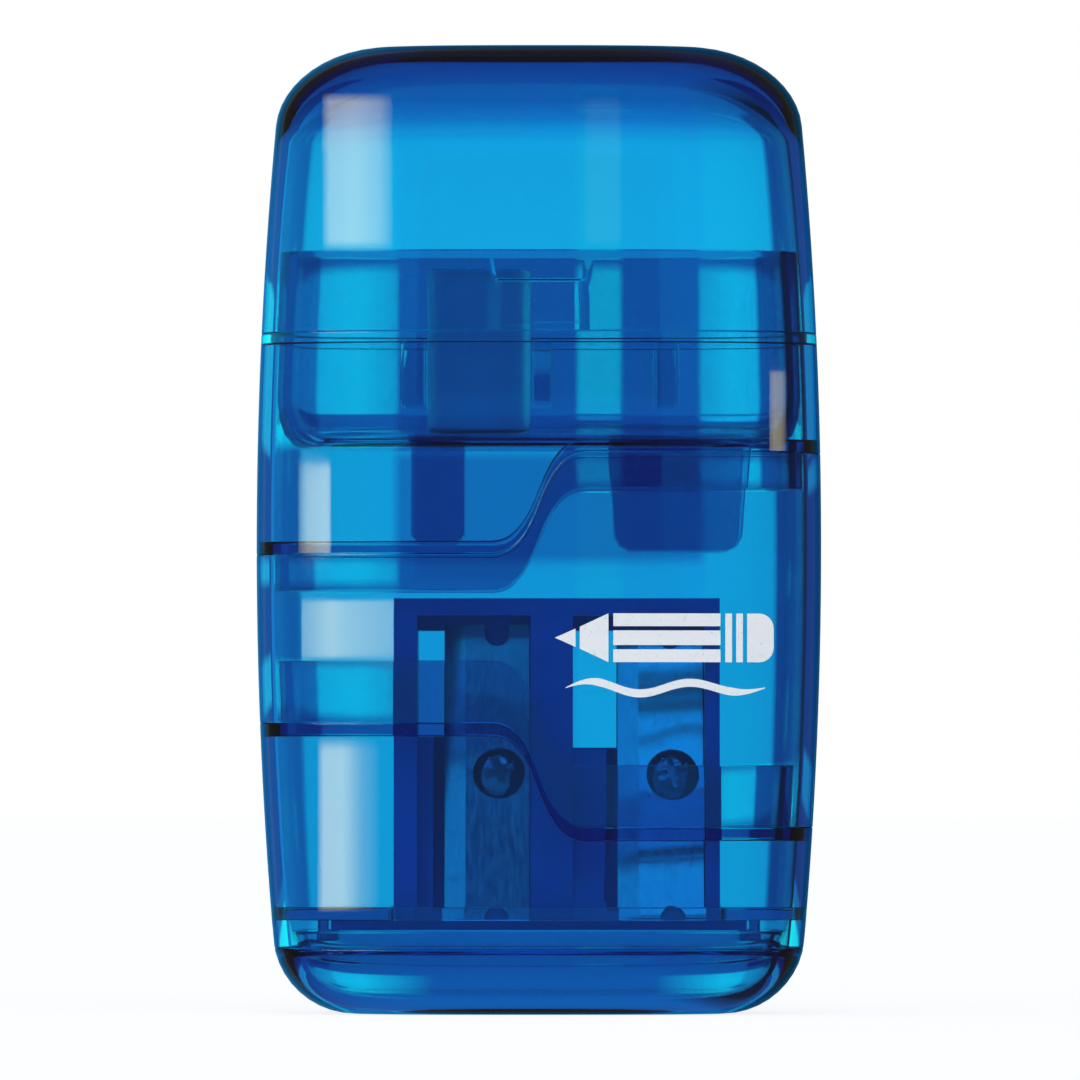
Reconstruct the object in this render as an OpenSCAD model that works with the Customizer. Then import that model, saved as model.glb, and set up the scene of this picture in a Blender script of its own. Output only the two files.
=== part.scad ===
// Two-hole canister pencil sharpener with an eraser compartment under a cap.
// The origin is the centre of the flat foot, +Z is up, and the blades face -Y.
// The shells follow one barrel-shaped skin, and every collar is that skin pulled in.

/* [Body] */
// Height from the foot to the top of the cap
body_h = 80; // [78:0.5:83]
// Width of the barrel at its waist
body_w = 46.8; // [46.4:0.2:49]
// Depth of the barrel at its waist, front to back
body_d = 22; // [22:0.5:26]
// Radius of the long barrel curve
barrel_r = 380; // [340:10:600]
// Height of the widest point
waist_z = 38.8; // [36:0.2:42]
// Roundness of the plan section, 2 is an ellipse and more is squarer
plan_power = 2.8; // [2.7:0.1:3.4]

/* [Shells] */
// Wall of the sharpener shell, container, holder band and cover
wall = 1.35; // [1.2:0.05:1.4]
// Wall of the cap
cap_wall = 1.1; // [1:0.05:1.2]
// Thickness of the cap's top
cap_top_t = 2.3; // [1.8:0.1:2.6]
// Wall of every collar and of the eraser tray
collar_wall = 1.1; // [0.9:0.05:1.2]
// Clearance between a collar and the shell round it
fit_gap = 0.12; // [0.1:0.01:0.15]

/* [Joint lines] */
// Bottom cover meets the sharpener shell
cover_z = 5.4; // [5:0.1:5.6]
// Sharpener shell's upper edge on the left
shell_left_z = 24; // [23:0.5:25]
// Sharpener shell's upper edge on the right
shell_right_z = 15.4; // [14.8:0.2:16.2]
// Holder band's lower edge on the left
band_left_z = 37.9; // [37:0.5:39]
// Holder band's lower edge on the right
band_right_z = 46.3; // [45.8:0.1:46.6]
// Cap's lower edge
cap_z = 56.2; // [56:0.1:57]
// Half the width of the S-curve in the two wavy joint lines
wave_half = 4.1; // [3.8:0.1:4.4]

/* [Sharpener] */
// Diameter of the hole for a standard pencil
standard_hole = 8.2; // [8:0.1:8.4]
// Diameter of the hole for a jumbo pencil
jumbo_hole = 11.2; // [10.8:0.1:11.3]
// Length of a blade
blade_len = 24.6; // [24:0.1:25]
// Width of a blade
blade_w = 7.05; // [7:0.05:7.1]
// Thickness of a blade
blade_t = 0.65; // [0.5:0.05:0.7]
// Diameter of a screw head
screw_head = 4.3; // [4.1:0.1:4.4]

/* [Eraser] */
// Width of the eraser
eraser_w = 8.4; // [7.5:0.1:8.6]
// Depth of the eraser, front to back
eraser_d = 12; // [10:0.5:12.5]
// Height of the eraser above the tray floor
eraser_h = 13.8; // [12:0.2:14]

/* [Hidden] */
$fn = 48;

eps = 0.01;
ring_points = 32;
reach = 60; // longer than any cut has to be

// rounding of the two ends of the barrel
foot_round = 6;
top_round_x = 8.5;
top_round_z = 6.5;
depth_round = 0.62; // the ends round less from front to back than from side to side

// collars
cover_collar_h = 1.5;
shell_collar_h = 5.15;
band_collar_h = 3;
tray_collar_h = 6.7;
root_h = 1; // height over which a collar grows out of its shell
floor_t = 1.4;

// eraser tray
tray_z = 46.7;
tray_floor = 0.9;
tray_flange_t = 0.9;
tray_flange_inset = 0.7;
key_w = 7.1;
key_z = 56.9;
key_h = 3.2;
key_proud = 0.3;
key_slack = 0.25;
rib_sides = [[-11.3, -9.3], [-0.5, 1], [9.5, 11.4]]; // left and right side of each rib
rib_t = 0.4; // how far the ribs stand out of the front and back walls
eraser_x = (rib_sides[0][1] + rib_sides[1][0]) / 2;
eraser_corner = 1.2;
eraser_crown = 30;
tongue_y = [-6, 4.8]; // near side of the front and the back tongues
tongue_t = 1.2;
left_tongue = [[-10.5, 47], [-10.5, 39.4], [-9.9, 38.8], [-6.7, 38.8], [-6.1, 39.4], [-6.1, 47]];
right_tongue = [[5.7, 47], [6.2, 39.4], [6.6, 38.6], [7.4, 38.2], [15.4, 38.2], [16.2, 38.6],
  [16.6, 39.4], [17.1, 47]];

// sharpener block
block_left = -11.9;
block_right = 14.8;
block_front = -5.4;
block_back = 6.6;
block_top = 34.3;
pocket_top = 32.9;
flange_left = -16.9;
flange_right = 16.9;
flange_d = 12.4;
flange_z = 7;
flange_t = 0.8;
deck_t = 1.1;
window_gap = 0.3;
window_front = -6.9; // leaves room for the feet of the blades
catch_x = 16.4;
catch_w = 1.8;
catch_d = 4;
catch_t = 0.9;
axis_y = 0.4;
entry_top = 9.5;
cone_top = 31.2;
cone_tip_r = 0.5;
standard_x = -7.2;
jumbo_x = 6.8;
standard_edge_x = -7.8;
jumbo_edge_x = 6.45;
standard_pocket = [-10, -0.7]; // left and right side
jumbo_pocket = [2.8, 13.6];
standard_slot_z = 22.9;
jumbo_slot_z = 22;
slot_top = 31.7;
groove_w = 0.9;
back_hollow = [-1.6, -0.5, 12];
back_hollow_size = [2, reach, 15];
blade_z = 7.85;
bite = 0.2; // how far a seat lies inside its cone

// blades and screws, measured on the seat from the cutting edge and the lower end
bevel_w = 1.75;
bevel_rest = 0.1; // thickness left at the cutting edge
notch_r = 1;
notch_x = 4.35;
notch_depth = 0.8;
screw_x = 4.5;
screw_z = 12.1;
shank_r = 1;
shank_len = 2.4;
dome_h = 1.15;
cross_w = 0.7;
cross_len = 2.5;
cross_floor = 0.35;
cross_turn = 20;

deck_z = flange_z + flange_t;
slope_h = cone_top - entry_top;
standard_tilt = atan((standard_hole / 2 - cone_tip_r) / slope_h);
jumbo_tilt = atan((jumbo_hole / 2 - cone_tip_r) / slope_h);

// ---- barrel skin ----

function half_w(z) = body_w / 2 - pow(z - waist_z, 2) / (2 * barrel_r);

function half_d(z) = body_d / 2 - pow(z - waist_z, 2) / (4 * barrel_r);

// how far an elliptical corner of half axes a and b has pulled in, at distance t from its end
function corner(t, a, b) = t >= b ? 0 : a * (1 - sqrt(1 - pow((b - max(t, 0)) / b, 2)));

function end_inset(z) =
  corner(z, foot_round, foot_round) + corner(body_h - z, top_round_x, top_round_z);

function signed_power(v, p) = sign(v) * pow(abs(v), p);

// one ring of the skin: drawn at height z, shaped as the skin is at height from, pulled in by inset
function ring(z, from, inset) =
  let (w = half_w(from) - end_inset(from) - inset, d = half_d(from) - depth_round * end_inset(from) - inset)
  [for (i = [0 : ring_points - 1])
    let (a = 360 * i / ring_points)
    [w * signed_power(cos(a), 2 / plan_power), d * signed_power(sin(a), 2 / plan_power), z]];

module loft(rings) {
  n = len(rings[0]);
  last = len(rings) - 1;
  sides = [for (k = [0 : last - 1], i = [0 : n - 1])
    [k * n + i, (k + 1) * n + i, (k + 1) * n + (i + 1) % n, k * n + (i + 1) % n]];
  bottom = [for (i = [0 : n - 1]) i];
  top = [for (i = [n - 1 : -1 : 0]) last * n + i];
  polyhedron([for (r = rings) each r], concat([bottom], sides, [top]), convexity = 6);
}

// a plain stretch of the skin, with shift to take its shape from lower down
module skin(low, high, inset = 0, shift = 0) {
  steps = max(1, round((high - low) / 6));
  loft([for (k = [0 : steps])
    let (z = low + (high - low) * k / steps)
    ring(z, z - shift, inset)]);
}

// ---- wavy joint lines ----

wave_power = 2.6; // more is steeper in the middle
wave_steps = 16;

function wave_share(x) =
  let (u = min(max(x / wave_half, -1), 1))
  0.5 + 0.5 * sign(u) * (1 - pow(1 - abs(u), wave_power));

function wave(x, left_z, right_z) = left_z + (right_z - left_z) * wave_share(x);

function wave_line(left_z, right_z, lift) =
  [for (k = [0 : wave_steps])
    let (x = wave_half * (2 * k / wave_steps - 1))
    [x, wave(x, left_z, right_z) + lift]];

// everything above a wavy line
module above(left_z, right_z, lift = 0) {
  rotate([90, 0, 0])
    linear_extrude(height = reach, center = true)
      polygon(concat([[-reach, left_z + lift]], wave_line(left_z, right_z, lift),
        [[reach, right_z + lift], [reach, body_h + reach], [-reach, body_h + reach]]));
}

module below(left_z, right_z, lift = 0) {
  rotate([90, 0, 0])
    linear_extrude(height = reach, center = true)
      polygon(concat([[-reach, left_z + lift]], wave_line(left_z, right_z, lift),
        [[reach, right_z + lift], [reach, -reach], [-reach, -reach]]));
}

// ---- cap, holder band, tray and eraser ----

top_steps = 7;

// heights that crowd together towards the rounded top
function top_heights(low) = concat(
  [low, (low + body_h - top_round_z) / 2],
  [for (k = [0 : top_steps]) body_h - top_round_z * (1 - sin(90 * k / top_steps))]);

module eraser_cap() {
  cavity_start = cap_z - 1;
  color("dodgerblue", 0.5)
    difference() {
      loft([for (z = top_heights(cap_z)) ring(z, z, 0)]);
      loft([for (z = top_heights(cavity_start))
        let (share = (z - cavity_start) / (body_h - cavity_start))
        ring(z - cap_top_t * share, z, cap_wall)]);
      // keyway over the tray's locating key, open at the cap's edge
      translate([-key_w / 2 - key_slack, -body_d / 2 + cap_wall - key_proud - key_slack, cap_z - 1])
        cube([key_w + 2 * key_slack, 2, key_z + key_h + key_slack - cap_z + 1]);
    }
}

module holder_band() {
  color("dodgerblue", 0.5)
    difference() {
      union() {
        intersection() {
          skin(band_left_z - 1, cap_z);
          above(band_left_z, band_right_z);
        }
        intersection() {
          skin(band_left_z - band_collar_h - 1, cap_z - 1, wall + fit_gap);
          above(band_left_z, band_right_z, -band_collar_h);
        }
      }
      skin(band_left_z - band_collar_h - 2, cap_z + 1, wall + fit_gap + collar_wall);
      intersection() {
        skin(band_left_z, cap_z + 1, wall);
        above(band_left_z, band_right_z, root_h);
      }
      skin(cap_z - tray_flange_t, cap_z + 1, tray_flange_inset);
    }
}

// a pair of plates under the tray floor, one near the front wall and one near the back wall
module tongue_pair(outline) {
  for (y = tongue_y)
    translate([0, y + tongue_t, 0])
      rotate([90, 0, 0])
        linear_extrude(height = tongue_t)
          polygon(outline);
}

module eraser_tray() {
  tray_inset = wall + fit_gap;
  collar_inset = cap_wall + fit_gap;
  corner_r = 4;
  floor_top = tray_z + tray_floor;
  rim_z = cap_z + tray_collar_h;
  color("royalblue", 0.5) {
    difference() {
      union() {
        loft([
          ring(tray_z, tray_z, tray_inset + corner_r * 0.6),
          ring(tray_z + corner_r * 0.15, tray_z, tray_inset + corner_r * 0.3),
          ring(tray_z + corner_r * 0.5, tray_z, tray_inset + corner_r * 0.08),
          ring(tray_z + corner_r, tray_z + corner_r, tray_inset),
          ring(cap_z, cap_z, tray_inset)
        ]);
        skin(cap_z - tray_flange_t, cap_z, tray_flange_inset + 0.05);
        skin(cap_z - tray_flange_t, rim_z, collar_inset);
        translate([-key_w / 2, -half_d(key_z) + cap_wall - key_proud, key_z])
          cube([key_w, 1, key_h]);
      }
      loft([
        ring(floor_top, floor_top, tray_inset + collar_wall + corner_r * 0.5),
        ring(floor_top + corner_r * 0.15, floor_top, tray_inset + collar_wall + corner_r * 0.2),
        ring(floor_top + corner_r * 0.8, floor_top, tray_inset + collar_wall),
        ring(rim_z + 1, rim_z + 1, tray_inset + collar_wall)
      ]);
    }
    // shallow ribs on the front and back walls, beside the eraser's place and the empty one
    difference() {
      intersection() {
        skin(floor_top, cap_z - 1, tray_inset + collar_wall / 2);
        for (rib = rib_sides)
          translate([rib[0], -reach / 2, floor_top])
            cube([rib[1] - rib[0], reach, cap_z - floor_top - 1]);
      }
      skin(floor_top - 1, cap_z, tray_inset + collar_wall + rib_t);
    }
    tongue_pair(left_tongue);
    tongue_pair(right_tongue);
  }
}

module eraser() {
  color("white")
    translate([eraser_x, 0, tray_z + tray_floor])
      intersection() {
        linear_extrude(height = eraser_h)
          offset(r = eraser_corner, $fn = 24)
            square([eraser_w - 2 * eraser_corner, eraser_d - 2 * eraser_corner], center = true);
        // crowned top
        translate([0, reach / 2, eraser_h - eraser_crown])
          rotate([90, 0, 0])
            cylinder(h = reach, r = eraser_crown, $fn = 96);
      }
}

// ---- shavings container ----

module shavings_container() {
  color("dodgerblue", 0.5)
    intersection() {
      difference() {
        skin(shell_right_z - 1, band_right_z + 1);
        skin(shell_right_z - 2, band_right_z + 2, wall);
      }
      above(shell_left_z, shell_right_z);
      below(band_left_z, band_right_z);
    }
}

// ---- sharpener shell with its deck, collar and catches ----

module catch(side) {
  low = flange_z - catch_t;
  mirror([side < 0 ? 1 : 0, 0, 0]) {
    translate([catch_x + catch_w - catch_t, -catch_d / 2, low])
      cube([catch_t, catch_d, deck_z - low + eps]);
    translate([catch_x, -catch_d / 2, low])
      cube([catch_w, catch_d, catch_t - eps]);
  }
}

module sharpener_shell() {
  collar_inset = wall + fit_gap;
  color("dodgerblue", 0.5) {
    difference() {
      union() {
        intersection() {
          skin(cover_z, shell_left_z + 1);
          below(shell_left_z, shell_right_z);
        }
        intersection() {
          skin(shell_right_z - 3, shell_left_z + shell_collar_h + 1, collar_inset, shell_collar_h);
          below(shell_left_z, shell_right_z, shell_collar_h);
          above(shell_left_z, shell_right_z, -root_h);
        }
      }
      intersection() {
        skin(cover_z - 1, shell_left_z + 1, wall);
        below(shell_left_z, shell_right_z, -root_h);
      }
      intersection() {
        skin(cover_z - 1, shell_left_z + shell_collar_h + 2, collar_inset + collar_wall, shell_collar_h);
        above(shell_left_z, shell_right_z, -root_h - eps);
      }
    }
    difference() {
      skin(deck_z, deck_z + deck_t, wall - 0.3);
      translate([block_left - window_gap, window_front, deck_z - 1])
        cube([
          block_right - block_left + 2 * window_gap,
          block_back + window_gap - window_front,
          deck_t + 2
        ]);
    }
    catch(-1);
    catch(1);
  }
}

// ---- sharpener block, blades and screws ----

// places its children on a blade seat: origin at the seat's lower corner, the seat in the XZ plane,
// which runs along the cone and just inside it, so that the edge reaches the pencil
module on_seat(edge_x, hole, tilt) {
  drop = (entry_top - blade_z) * tan(tilt);
  translate([edge_x, axis_y - hole / 2 - drop + bite, blade_z])
    rotate([-tilt, 0, 0])
      children();
}

module pencil_hole(x, hole) {
  translate([x, axis_y, 0])
    rotate_extrude()
      polygon([[0, flange_z - 1], [hole / 2, flange_z - 1], [hole / 2, entry_top],
        [cone_tip_r, cone_top], [0, cone_top]]);
}

// the pocket that a blade lies in, up to the top bar
module blade_pocket(sides, edge_x, hole, tilt) {
  intersection() {
    on_seat(edge_x, hole, tilt)
      translate([sides[0] - edge_x, -reach, -reach / 2])
        cube([sides[1] - sides[0], reach, 2 * reach]);
    translate([-reach, -reach, deck_z])
      cube([2 * reach, 2 * reach, pocket_top - deck_z]);
  }
}

// a shaving slot, open right through beside the upper half of an edge, and below it
// the groove that lets the edge reach the pencil
module shaving_slot(left, edge_x, slot_z) {
  groove_z = deck_z + 0.8;
  translate([left, -reach, slot_z])
    cube([edge_x - left, 2 * reach, slot_top - slot_z]);
  translate([edge_x - groove_w, -reach, groove_z])
    cube([groove_w, reach + axis_y, slot_z - groove_z + eps]);
}

module sharpener_block() {
  color("midnightblue")
    difference() {
      union() {
        translate([block_left, block_front, deck_z - eps])
          cube([block_right - block_left, block_back - block_front, block_top - deck_z + eps]);
        translate([flange_left, -flange_d / 2, flange_z])
          cube([flange_right - flange_left, flange_d, flange_t]);
      }
      pencil_hole(standard_x, standard_hole);
      pencil_hole(jumbo_x, jumbo_hole);
      blade_pocket(standard_pocket, standard_edge_x, standard_hole, standard_tilt);
      blade_pocket(jumbo_pocket, jumbo_edge_x, jumbo_hole, jumbo_tilt);
      shaving_slot(standard_pocket[0], standard_edge_x, standard_slot_z);
      shaving_slot(jumbo_pocket[0], jumbo_edge_x, jumbo_slot_z);
      on_seat(standard_edge_x, standard_hole, standard_tilt)
        screw_hole(shank_r + 0.03, shank_len + 0.2);
      on_seat(jumbo_edge_x, jumbo_hole, jumbo_tilt)
        screw_hole(shank_r + 0.03, shank_len + 0.2);
      // hollow between the holes, from the back
      translate(back_hollow)
        cube(back_hollow_size);
    }
}

// a round hole for a blade screw, depth behind the seat
module screw_hole(r, depth) {
  translate([screw_x, -1, screw_z])
    rotate([-90, 0, 0])
      cylinder(h = 1 + depth, r = r);
}

module blade() {
  color("silver")
    difference() {
      translate([0, -blade_t, 0])
        cube([blade_w, blade_t, blade_len]);
      // ground bevel down to the cutting edge
      translate([0, -blade_t, -1])
        linear_extrude(height = blade_len + 2)
          polygon([[-1, -1], [bevel_w, -1], [bevel_w, 0], [0, blade_t - bevel_rest],
            [-1, blade_t - bevel_rest]]);
      screw_hole(shank_r + 0.1, 1);
      // round notch at the lower end, and a deeper one at the upper end
      for (z = [0, blade_len - notch_depth])
        translate([notch_x, 1, z])
          rotate([90, 0, 0])
            cylinder(h = 3, r = notch_r);
      translate([notch_x - notch_r, -2, blade_len - notch_depth])
        cube([2 * notch_r, 3, 2]);
    }
}

module standard_blade() {
  on_seat(standard_edge_x, standard_hole, standard_tilt)
    blade();
}

module jumbo_blade() {
  on_seat(jumbo_edge_x, jumbo_hole, jumbo_tilt)
    blade();
}

module screw() {
  dome_r = (pow(screw_head / 2, 2) + pow(dome_h, 2)) / (2 * dome_h);
  color("gainsboro")
    translate([screw_x, -blade_t, screw_z])
      rotate([90, 0, 0])
        difference() {
          union() {
            intersection() {
              translate([0, 0, dome_h - dome_r])
                sphere(r = dome_r);
              cylinder(h = dome_h + 1, d = screw_head);
            }
            translate([0, 0, -blade_t - shank_len])
              cylinder(h = blade_t + shank_len + eps, r = shank_r);
          }
          for (turn = [0, 90])
            rotate([0, 0, turn + cross_turn])
              translate([-cross_len / 2, -cross_w / 2, cross_floor])
                cube([cross_len, cross_w, 2]);
        }
}

module standard_blade_screw() {
  on_seat(standard_edge_x, standard_hole, standard_tilt)
    screw();
}

module jumbo_blade_screw() {
  on_seat(jumbo_edge_x, jumbo_hole, jumbo_tilt)
    screw();
}

// ---- bottom cover ----

module bottom_cover() {
  foot_steps = 6;
  foot_heights = [for (k = [0 : foot_steps]) foot_round * (1 - cos(90 * k / foot_steps))];
  outer_heights = [for (z = foot_heights) if (z < cover_z - 0.2) z];
  rim_z = cover_z + cover_collar_h;
  color("royalblue", 0.5)
    difference() {
      union() {
        loft([for (z = concat(outer_heights, [cover_z])) ring(z, z, 0)]);
        skin(cover_z - root_h, rim_z, wall + fit_gap, cover_collar_h);
      }
      loft([for (z = concat(outer_heights, [cover_z]))
        let (share = z / cover_z)
        ring(floor_t + (cover_z - floor_t) * share, z, wall + fit_gap + collar_wall * share)]);
      skin(cover_z - eps, rim_z + 1, wall + fit_gap + collar_wall, cover_collar_h);
    }
}

eraser_cap();
holder_band();
eraser_tray();
eraser();
shavings_container();
sharpener_shell();
sharpener_block();
standard_blade();
jumbo_blade();
standard_blade_screw();
jumbo_blade_screw();
bottom_cover();
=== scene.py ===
import math
import bpy
import bmesh
from mathutils import Matrix, Vector


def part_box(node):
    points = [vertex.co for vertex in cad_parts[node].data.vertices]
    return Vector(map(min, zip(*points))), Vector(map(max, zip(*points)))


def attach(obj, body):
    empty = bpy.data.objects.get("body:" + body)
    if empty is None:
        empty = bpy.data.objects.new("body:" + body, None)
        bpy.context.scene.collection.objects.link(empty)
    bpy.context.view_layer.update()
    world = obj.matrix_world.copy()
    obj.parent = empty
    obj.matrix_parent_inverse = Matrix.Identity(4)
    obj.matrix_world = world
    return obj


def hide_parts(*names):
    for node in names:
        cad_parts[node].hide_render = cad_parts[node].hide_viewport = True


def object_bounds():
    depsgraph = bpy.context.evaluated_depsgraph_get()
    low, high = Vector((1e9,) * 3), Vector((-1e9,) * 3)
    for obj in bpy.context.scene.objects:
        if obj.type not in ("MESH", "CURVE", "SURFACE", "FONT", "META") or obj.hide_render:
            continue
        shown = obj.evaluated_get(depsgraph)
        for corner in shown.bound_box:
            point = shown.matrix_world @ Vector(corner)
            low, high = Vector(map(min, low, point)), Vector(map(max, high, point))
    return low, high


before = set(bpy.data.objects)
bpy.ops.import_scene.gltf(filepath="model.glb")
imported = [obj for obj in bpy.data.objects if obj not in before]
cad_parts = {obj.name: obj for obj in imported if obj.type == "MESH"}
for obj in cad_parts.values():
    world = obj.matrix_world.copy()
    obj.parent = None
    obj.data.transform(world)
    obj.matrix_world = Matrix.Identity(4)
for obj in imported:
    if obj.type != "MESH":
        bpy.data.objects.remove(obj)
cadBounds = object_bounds()
mm = 0.001

# sizes and heights that several pieces share, the heights read from the CAD nodes
barrel = {
    "curveRadius": 380 * mm,    # the long curve of the sides
    "waist": 38.8 * mm,         # height of the widest point
    "power": 2.8,               # 2 is an ellipse, more is squarer
    "footRound": 6 * mm,
    "topRoundSide": 8.5 * mm,
    "topRoundHeight": 6.5 * mm,
    "depthRound": 0.62,         # the ends round less from front to back
    "waveHalf": 4.1 * mm,       # half the width of the S-curve
    "wavePower": 2.6,           # more is steeper in its middle
    "columns": 208,             # faces round a shell
    "rowStep": 2.4 * mm,        # face height on the long walls
    "crowding": 0.42,           # draws the columns together at front, back and sides
}
fit = {
    "wall": 1.35 * mm,
    "capWall": 1.1 * mm,
    "capTop": 2.3 * mm,
    "collarWall": 1.1 * mm,
    "gap": 0.12 * mm,
    "coverCollar": 1.5 * mm,
    "coverFloor": 1.4 * mm,
    "shellCollar": 5.15 * mm,
    "bandCollar": 3 * mm,
    "root": 1 * mm,             # how far a collar reaches down inside its own shell
    "softEdge": 0.1 * mm,
}
lowest, highest = cadBounds
top = highest.z
halfWidest = (highest.x - lowest.x) / 2
halfDeepest = (highest.y - lowest.y) / 2
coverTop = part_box("sharpener_shell")[0].z
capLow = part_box("eraser_cap")[0].z
trayLow, trayRim = 46.7 * mm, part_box("eraser_tray")[1].z
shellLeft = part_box("sharpener_shell")[1].z - fit["shellCollar"]
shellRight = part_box("shavings_container")[0].z
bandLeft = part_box("holder_band")[0].z + fit["bandCollar"]
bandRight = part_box("shavings_container")[1].z


def waveShare(x):
    u = min(max(x / barrel["waveHalf"], -1.0), 1.0)
    return 0.5 + math.copysign(0.5, u) * (1 - (1 - abs(u)) ** barrel["wavePower"])


def wavyEdge(left, right):
    return lambda x: left + (right - left) * waveShare(x)


def levelEdge(height):
    return lambda x: height


shellEdge = wavyEdge(shellLeft, shellRight)
bandEdge = wavyEdge(bandLeft, bandRight)


def cornerPull(distance, across, along):
    if distance >= along:
        return 0.0
    return across * (1 - math.sqrt(1 - ((along - max(distance, 0.0)) / along) ** 2))


def skinHalves(z, inset):
    lean = (z - barrel["waist"]) ** 2 / (2 * barrel["curveRadius"])
    pull = cornerPull(z, barrel["footRound"], barrel["footRound"])
    pull += cornerPull(top - z, barrel["topRoundSide"], barrel["topRoundHeight"])
    return halfWidest - lean - pull - inset, halfDeepest - lean / 2 - barrel["depthRound"] * pull - inset


def outlinePoint(turn, width, depth, power):
    c, s = math.cos(turn), math.sin(turn)
    reach = (abs(c) ** power + abs(s) ** power) ** (-1 / power)
    return width * reach * c, depth * reach * s


def frontY(x, z, inset=0.0):
    width, depth = skinHalves(z, inset)
    return -depth * (1 - min(abs(x / width), 1.0) ** barrel["power"]) ** (1 / barrel["power"])


# one corner of a wall's section: how far in from the skin, at which edge, and how far above it;
# a shift takes the skin's shape from lower down, and a scale shrinks the ring towards the middle
def corner(inset, edge, rise=0.0, shift=0.0, scale=1.0, outline=None):
    return {"inset": inset, "edge": edge, "rise": rise, "shift": shift, "scale": scale, "outline": outline}


def ringXY(turn, z, spot):
    if spot["outline"]:
        cx, cy, width, depth, power = spot["outline"]
        x, y = outlinePoint(turn, width, depth, power)
        return cx + x, cy + y
    width, depth = skinHalves(z - spot["shift"], spot["inset"])
    x, y = outlinePoint(turn, width, depth, barrel["power"])
    return x * spot["scale"], y * spot["scale"]


def cornerAt(turn, spot):
    x = 0.0
    for _ in range(3):                                  # x and the wavy height settle together
        z = spot["edge"](x) + spot["rise"]
        x, y = ringXY(turn, z, spot)
    return x, y, z


def pointBetween(turn, a, b, share):
    ax, ay, az = cornerAt(turn, a)
    if share == 0:
        return Vector((ax, ay, az))
    bx, by, bz = cornerAt(turn, b)
    z = az + (bz - az) * share
    if a["outline"] or b["outline"] or abs(az - bz) < 1e-7:
        return Vector((ax + (bx - ax) * share, ay + (by - ay) * share, z))
    spot = {k: a[k] + (b[k] - a[k]) * share for k in ("inset", "shift", "scale")}
    spot["outline"] = None
    x, y = ringXY(turn, z, spot)
    return Vector((x, y, z))


def sectionRows(corners, closed):
    rows = []
    pairs = list(zip(corners, corners[1:] + corners[:1])) if closed else list(zip(corners, corners[1:]))
    for a, b in pairs:
        rise = max(abs(cornerAt(turn, a)[2] - cornerAt(turn, b)[2]) for turn in (0.0, math.pi / 2, math.pi))
        count = max(1, round(rise / barrel["rowStep"]))
        rows += [(a, b, k / count) for k in range(count)]
    rows.append((corners[0], corners[1], 0.0) if closed else (corners[-1], corners[-1], 0.0))
    return rows


# draws a wall's section all the way round into bm: closed makes a ring, open makes a cup with both poles filled
def sweepShell(bm, corners, closed=True):
    turnOf = bm.verts.layers.float.get("turn") or bm.verts.layers.float.new("turn")
    count = barrel["columns"]
    start = bmesh.ops.create_circle(bm, cap_ends=False, radius=1, segments=count)["verts"]
    for v in start:
        even = math.atan2(v.co.y, v.co.x)
        v[turnOf] = even - barrel["crowding"] * math.sin(4 * even) / 4
    ring, edges = start, list({e for v in start for e in v.link_edges})
    rows = sectionRows(corners, closed)
    made = list(start)
    for number, (a, b, share) in enumerate(rows):
        if number:
            grown = bmesh.ops.extrude_edge_only(bm, edges=edges)["geom"]
            ring = [g for g in grown if isinstance(g, bmesh.types.BMVert)]
            inRing = set(ring)
            edges = [g for g in grown if isinstance(g, bmesh.types.BMEdge) and set(g.verts) <= inRing]
            made += ring
        for v in ring:
            v.co = pointBetween(v[turnOf], a, b, share)
    if closed:
        bmesh.ops.remove_doubles(bm, verts=made, dist=1e-6)
    else:
        bmesh.ops.holes_fill(bm, edges=[e for e in bm.edges if e.is_boundary], sides=0)
    return [v for v in made if v.is_valid]


def addObject(name, bm, material, body, nodes=()):
    bmesh.ops.recalc_face_normals(bm, faces=bm.faces)
    for face in bm.faces:
        face.smooth = True
    mesh = bpy.data.meshes.new(name)
    bm.to_mesh(mesh)
    bm.free()
    piece = bpy.data.objects.new(name, mesh)
    bpy.context.scene.collection.objects.link(piece)
    mesh.materials.append(material)
    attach(piece, body)
    if nodes:
        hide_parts(*nodes)
    return piece


def softenEdges(piece, width, segments=3, angle=38):
    bevel = piece.modifiers.new("softEdges", "BEVEL")
    bevel.width = width
    bevel.segments = segments
    bevel.limit_method = "ANGLE"
    bevel.angle_limit = math.radians(angle)
    bevel.harden_normals = True
    bevel.miter_outer = "MITER_ARC"


def addBox(bm, low, high):
    made = bmesh.ops.create_cube(bm, size=1)["verts"]
    size = Vector(high) - Vector(low)
    bmesh.ops.scale(bm, vec=size, verts=made)
    bmesh.ops.translate(bm, vec=(Vector(high) + Vector(low)) / 2, verts=made)
    return made


class Wire:
    def __init__(self, shop, socket):
        self.shop, self.socket = shop, socket

    def _join(self, operation, first, second):
        return self.shop.add("Math", {"operation": operation}, {0: first, 1: second})

    def __add__(self, other): return self._join("ADD", self, other)
    def __radd__(self, other): return self._join("ADD", other, self)
    def __sub__(self, other): return self._join("SUBTRACT", self, other)
    def __rsub__(self, other): return self._join("SUBTRACT", other, self)
    def __mul__(self, other): return self._join("MULTIPLY", self, other)
    def __rmul__(self, other): return self._join("MULTIPLY", other, self)
    def __truediv__(self, other): return self._join("DIVIDE", self, other)
    def __pow__(self, other): return self._join("POWER", self, other)


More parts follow.
